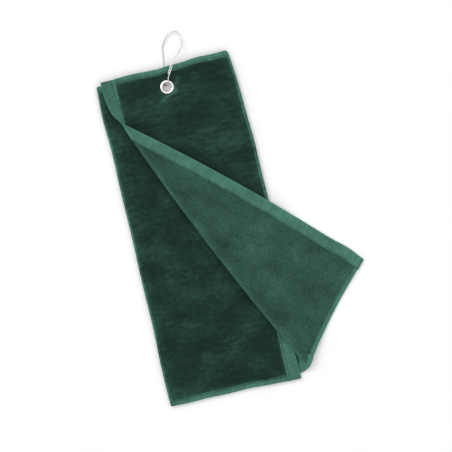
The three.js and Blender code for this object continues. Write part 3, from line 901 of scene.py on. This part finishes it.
# The hook's wire, from its crown: its fixed run through the grommet, and the latch that springs
CROWN = (23, 227.5, 4)
FRAME_ROUTE = [
    (19.6, 227, 3.8), (16.2, 225.6, 3.3), (11, 220.6, 2.1), (7, 214, 0.9), (5.4, 207.5, 0.65),
    (4.6, 200, 0.65), (2.6, 192, 0.65), (0, 184, 0.65), (-1.8, 177, 0.65), (-1.9, 172.4, 0.7),
    (-1, 170.2, 1.3), (0, 169.4, 3.2), (1.2, 169.3, 5.2), (2.2, 169.6, 7.2), (2.9, 170.3, 8.6),
    (3.5, 171.9, 9.25), (4.5, 175.2, 9.2), (5.6, 178.2, 8.9), (7.2, 180.9, 8.75), (10.5, 186.1, 8.75),
    (12.6, 189.8, 8.75),
]
GATE_ROUTE = [
    (26.5, 226.3, 4.5), (29.2, 221.5, 5.4), (29.6, 215, 6.5), (28.2, 209.3, 7.6), (25.2, 205, 8.3),
    (20.9, 201.2, 8.75), (17, 197.6, 8.8), (14.4, 193.9, 8.8), (12.6, 191.9, 8.8), (10.9, 190.4, 8.75),
    (9, 187, 8.75), (6.9, 183.4, 8.75), (6, 181.5, 8.75),
]
WIRE_R = 0.6


def add_hook():
    """The snap hook, bent from one wire; its crown, a fixed bend of the wire, joins the fixed run to the
    latch.
    """
    for name, route, node, body in [
        ("hook_frame_wire", FRAME_ROUTE, "hook_wire", "hook"),
        ("hook_latch_wire", GATE_ROUTE, "hook_gate", "gate"),
    ]:
        wire = tube(name, route, WIRE_R)
        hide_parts(node)
        dress(wire, body, "hook_metal", chrome())
    middle = np.array(CROWN)
    bend = smooth_curve([FRAME_ROUTE[1], FRAME_ROUTE[0], CROWN, GATE_ROUTE[0], GATE_ROUTE[1]], 200)
    reach = np.linalg.norm(middle - GATE_ROUTE[0]) + 0.4
    near = bend[np.linalg.norm(bend - middle, axis=1) < reach]
    crown = tube("hook_crown_wire", near[::12], WIRE_R + 0.01, spacing=0.35)
    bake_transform(crown)
    dress(crown, None, "hook_metal", chrome())


# ---------------- materials

class Finish:
    """A material's nodes, made by short calls. Pattern sizes are in millimetres."""

    def __init__(self, name, **sockets):
        self.material = bpy.data.materials.new(name)
        self.material.use_nodes = True
        self.tree = self.material.node_tree
        self.shader = self.tree.nodes["Principled BSDF"]
        for socket, value in sockets.items():
            self.shader.inputs[socket.replace("_", " ")].default_value = value

    def node(self, kind, **values):
        made = self.tree.nodes.new(kind)
        for name, value in values.items():
            if name in made.bl_rna.properties:
                setattr(made, name, value)
            else:
                made.inputs[name.replace("_", " ")].default_value = value
        return made

    def link(self, output, node, socket):
        self.tree.links.new(output, node.inputs[socket])

    def place(self, sizes, on_cloth=True):
        """Coordinates in which each size, in millimetres, is one unit."""
        if on_cloth:
            source = self.node("ShaderNodeUVMap", uv_map="cloth").outputs["UV"]
        else:
            source = self.node("ShaderNodeTexCoord").outputs["Object"]
        mapping = self.node("ShaderNodeMapping", Scale=[1 / (s * MM) for s in sizes])
        self.link(source, mapping, "Vector")
        return mapping.outputs["Vector"]

    def noise(self, sizes, detail, on_cloth=True, rough=0.5):
        texture = self.node("ShaderNodeTexNoise", Scale=1.0, Detail=detail, Roughness=rough)
        self.link(self.place(sizes, on_cloth), texture, "Vector")
        return texture.outputs["Fac"]

    def tone(self):
        """The mesh's tone attribute, mostly painted highlights and painted shade; nothing where the mesh has
        none.
        """
        return self.node("ShaderNodeAttribute", attribute_name="tone").outputs["Fac"]

    def cells(self, sizes):
        texture = self.node("ShaderNodeTexVoronoi", Scale=1.0, feature="SMOOTH_F1", Smoothness=0.35)
        self.link(self.place(sizes), texture, "Vector")
        return texture.outputs["Distance"]

    def bands(self, sizes, direction):
        texture = self.node(
            "ShaderNodeTexWave", bands_direction=direction, Scale=math.pi / 10, Distortion=0.6, Detail=1.0
        )
        self.link(self.place(sizes), texture, "Vector")
        return texture.outputs["Fac"]

    def blended(self, parts):
        """The weighted sum of several patterns."""
        total = None
        for output, weight in parts:
            term = self.node("ShaderNodeMath", operation="MULTIPLY_ADD")
            self.link(output, term, 0)
            term.inputs[1].default_value, term.inputs[2].default_value = weight, 0
            if total is not None:
                self.link(total, term, 2)
            total = term.outputs[0]
        return total

    def colours(self, pattern, stops):
        ramp = self.node("ShaderNodeValToRGB")
        elements = ramp.color_ramp.elements
        while len(elements) < len(stops):
            elements.new(0.5)
        for element, (place, colour) in zip(elements, stops):
            element.position = place
            element.color = (*colour, 1)
        self.link(pattern, ramp, "Fac")
        self.link(ramp.outputs["Color"], self.shader, "Base Color")

    def roughness(self, pattern, low, high):
        spread = self.node("ShaderNodeMapRange", To_Min=low, To_Max=high)
        self.link(pattern, spread, "Value")
        self.link(spread.outputs["Result"], self.shader, "Roughness")

    def bump(self, pattern, depth_mm, strength=1.0):
        """Adds a bump on top of those made so far."""
        made = self.node("ShaderNodeBump", Distance=depth_mm * MM, Strength=strength)
        self.link(pattern, made, "Height")
        before = self.shader.inputs["Normal"]
        if before.is_linked:
            self.link(before.links[0].from_socket, made, "Normal")
        self.link(made.outputs["Normal"], self.shader, "Normal")


def shade(colour, factor):
    return tuple(c * factor for c in colour)


VELOUR = (0.0104, 0.0305, 0.0225)
TERRY = (0.0290, 0.0800, 0.0615)
WEAVE = (0.0530, 0.1560, 0.1190)
SHEEN_TINT = (0.30, 0.78, 0.62, 1)


def cotton(name, sheen, sheen_roughness, gloss):
    return Finish(
        name, Sheen_Weight=sheen, Sheen_Roughness=sheen_roughness, Sheen_Tint=SHEEN_TINT,
        Specular_IOR_Level=gloss,
    )


@functools.cache
def velour():
    """Sheared pile: patches where the nap lies differently, with faint streaks along the weft."""
    f = cotton("velour", 0.45, 0.35, 0.1)
    patches, streaks = f.noise((38, 28, 30), 4), f.noise((16, 2.8, 10), 2)
    small, pile = f.noise((6, 4.5, 6), 3), f.noise((1.1, 0.9, 1), 2)
    # The mesh's tone adds in here, so the ramp's darkest and brightest stops also carry painted shadow
    # beside the corner and painted sheen highlights on the folds
    nap = f.blended([(patches, 0.42), (streaks, 0.13), (small, 0.25), (pile, 0.2), (f.tone(), 1.0)])
    dark, light, bright = shade(VELOUR, 0.5), shade(VELOUR, 2.3), shade(VELOUR, 6)
    f.colours(nap, [(0.36, dark), (0.5, VELOUR), (0.66, light), (0.85, bright)])
    f.roughness(pile, 0.85, 1.0)
    f.bump(f.blended([(patches, 0.6), (streaks, 0.4)]), 1.0, 0.4)
    f.bump(f.blended([(pile, 0.6), (small, 0.4)]), 0.35, 0.6)
    return f.material


@functools.cache
def terry():
    """Loop pile: little tufts with darker gaps."""
    f = cotton("looped_terry", 0.35, 0.5, 0.1)
    loops, tufts = f.cells((1.5, 1.35, 1.4)), f.noise((2.2, 1.8, 2), 3, rough=0.65)
    cloudy, wide = f.noise((14, 11, 12), 3), f.noise((60, 45, 50), 1)
    # The mesh's tone adds painted highlights and painted shade here
    tone = f.blended([(loops, -0.22), (tufts, 0.34), (cloudy, 0.26), (wide, 0.4), (f.tone(), 1.0)])
    f.colours(tone, [(0.2, shade(TERRY, 0.45)), (0.4, TERRY), (0.6, shade(TERRY, 1.7))])
    f.roughness(tufts, 0.85, 1.0)
    f.bump(f.blended([(loops, -1.0), (tufts, 0.7)]), 0.9, 0.8)
    return f.material


@functools.cache
def flat_weave():
    """Plain weave of the hems, a little uneven along their length."""
    f = cotton("flat_weave", 0.25, 0.5, 0.15)
    warp, weft = f.bands((0.5, 0.5, 1), "X"), f.bands((0.5, 0.5, 1), "Y")
    slubs, puckers = f.noise((0.8, 5, 2), 3), f.noise((3.4, 16, 5), 3)
    cloudy = f.noise((26, 20, 24), 2)
    # The mesh's tone adds the hems' painted highlights and painted shade here
    weave = f.blended(
        [(warp, 0.05), (weft, 0.05), (slubs, 0.22), (puckers, 0.3), (cloudy, 0.38), (f.tone(), 1.0)]
    )
    f.colours(weave, [(0.33, shade(WEAVE, 0.6)), (0.5, WEAVE), (0.68, shade(WEAVE, 1.5))])
    f.roughness(slubs, 0.8, 0.95)
    f.bump(f.blended([(puckers, 0.7), (slubs, 0.3)]), 0.3, 0.6)
    f.bump(f.blended([(warp, 0.5), (weft, 0.5)]), 0.06, 0.7)
    return f.material


@functools.cache
def thread_material():
    """Twisted cotton in the hems' green, painted darker than the hems as shade where the stitches sink into
    the cloth.
    """
    f = cotton("sewing_thread", 0.2, 0.5, 0.3)
    plies, uneven = f.noise((0.25, 0.25, 0.25), 1, on_cloth=False), f.noise((6, 6, 6), 2, on_cloth=False)
    twist = f.blended([(plies, 0.5), (uneven, 0.5)])
    # Painted shade: both stops are darker than the hems' own weave colour
    f.colours(twist, [(0.3, shade(WEAVE, 0.35)), (0.7, shade(WEAVE, 0.9))])
    f.roughness(plies, 0.5, 0.7)
    f.bump(plies, 0.1, 0.7)
    return f.material


def metal(name, colour, low, high):
    """Polished metal, a little cloudy, with faint fine scratches."""
    f = Finish(name, Metallic=1.0)
    cloudy, scratches = f.noise((5, 5, 5), 2, on_cloth=False), f.noise((0.3, 2.5, 0.3), 2, on_cloth=False)
    f.colours(cloudy, [(0.3, shade(colour, 0.85)), (0.6, colour)])
    f.roughness(cloudy, low, high)
    f.bump(scratches, 0.006, 0.3)
    return f.material


@functools.cache
def nickel():
    return metal("bright_nickel", (0.80, 0.78, 0.75), 0.12, 0.22)


@functools.cache
def chrome():
    return metal("bright_wire", (0.60, 0.585, 0.57), 0.10, 0.20)


def dress(piece, body, slot, *materials):
    """Gives a piece its materials and the body that it rides on; its slot argument is not used."""
    for material in materials:
        piece.data.materials.append(material)
    if body:
        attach(piece, body)


# ---------------- floor, lights and camera

FLOOR_Z, FLOOR_HALF = -0.3, 4000
HORIZON, OVERHEAD = 0.38, 1.45  # the sky's strength
LIGHTS = [("key", (-0.9, 1.1, 1.9), 1.3, 11), ("fill", (1.4, -0.9, 1.6), 1.6, 5)]  # place, size and power
LENS_MM = 208.2
CAMERA_AT = (0.0308, -0.0030, 3.0)
CAMERA_TURN = -13.14


def add_stage():
    """A pale floor just under the towel, a soft sky that is brighter overhead, and two broad lights."""
    corners = [(x * FLOOR_HALF, y * FLOOR_HALF, FLOOR_Z) for x, y in [(-1, -1), (1, -1), (1, 1), (-1, 1)]]
    floor = mesh_object("floor", corners, [(0, 1, 2, 3)])
    paper = Finish("paper_floor", Roughness=0.9, Specular_IOR_Level=0.0)
    grain = paper.noise((40, 40, 40), 2, on_cloth=False)
    paper.colours(grain, [(0.3, (0.90, 0.90, 0.90)), (0.7, (0.92, 0.92, 0.92))])
    floor.data.materials.append(paper.material)
    world = bpy.data.worlds.new("studio")
    bpy.context.scene.world = world
    world.use_nodes = True
    tree = world.node_tree
    direction, parts = tree.nodes.new("ShaderNodeTexCoord"), tree.nodes.new("ShaderNodeSeparateXYZ")
    squared, fade = tree.nodes.new("ShaderNodeMath"), tree.nodes.new("ShaderNodeMapRange")
    squared.operation = "MULTIPLY"
    fade.inputs["To Min"].default_value, fade.inputs["To Max"].default_value = HORIZON, OVERHEAD
    tree.nodes["Background"].inputs["Color"].default_value = (1, 1, 1, 1)
    tree.links.new(direction.outputs["Generated"], parts.inputs[0])
    tree.links.new(parts.outputs["Z"], squared.inputs[0])
    tree.links.new(parts.outputs["Z"], squared.inputs[1])
    tree.links.new(squared.outputs[0], fade.inputs["Value"])
    tree.links.new(fade.outputs["Result"], tree.nodes["Background"].inputs["Strength"])
    for name, place, size, power in LIGHTS:
        data = bpy.data.lights.new(name, "AREA")
        data.shape, data.size, data.energy = "DISK", size, power
        lamp = bpy.data.objects.new(name, data)
        bpy.context.scene.collection.objects.link(lamp)
        lamp.location = place
        lamp.rotation_euler = (-lamp.location).to_track_quat("-Z", "Y").to_euler()


def add_camera():
    """A long lens looking straight down, turned so that the towel leans to the right."""
    lens = bpy.data.cameras.new("camera")
    lens.sensor_width, lens.lens, lens.clip_end = 36, LENS_MM, 20
    camera = bpy.data.objects.new("camera", lens)
    bpy.context.scene.collection.objects.link(camera)
    camera.location = CAMERA_AT
    camera.rotation_euler = (0, 0, math.radians(CAMERA_TURN))
    bpy.context.scene.camera = camera
    bpy.context.scene.view_settings.view_transform = "Standard"


# ---------------- the towel

add_camera()
add_stage()
cloth = add_cloth()
hems = [
    *add_end_hem("top_band", ["back_top_hem", "inner_top_hem", "front_top_hem"], at_top=True),
    *add_end_hem("bottom_band", ["back_bottom_hem", "inner_bottom_hem"], at_top=False),
    *add_inner_side_hem(),
    *add_front_side_hem(),
]
flap_cloth = add_flap_cloth()
flap_hems = add_flap_hems()
hems += [
    add_crease("crease_hem_lower", 0, CREASE_HEM, "lower", "hem", flat_weave()),
    add_crease("crease_lower", CREASE_HEM, CREASE_END, "lower", "terry", terry(), velour()),
]
creases = [
    add_crease("crease_hem_upper", 0, CREASE_HEM, "upper", "hem", flat_weave()),
    add_crease("crease_upper", CREASE_HEM, CREASE_END, "upper", "terry", terry(), velour()),
    add_corner_turn(),
]
add_grommet()
add_hook()
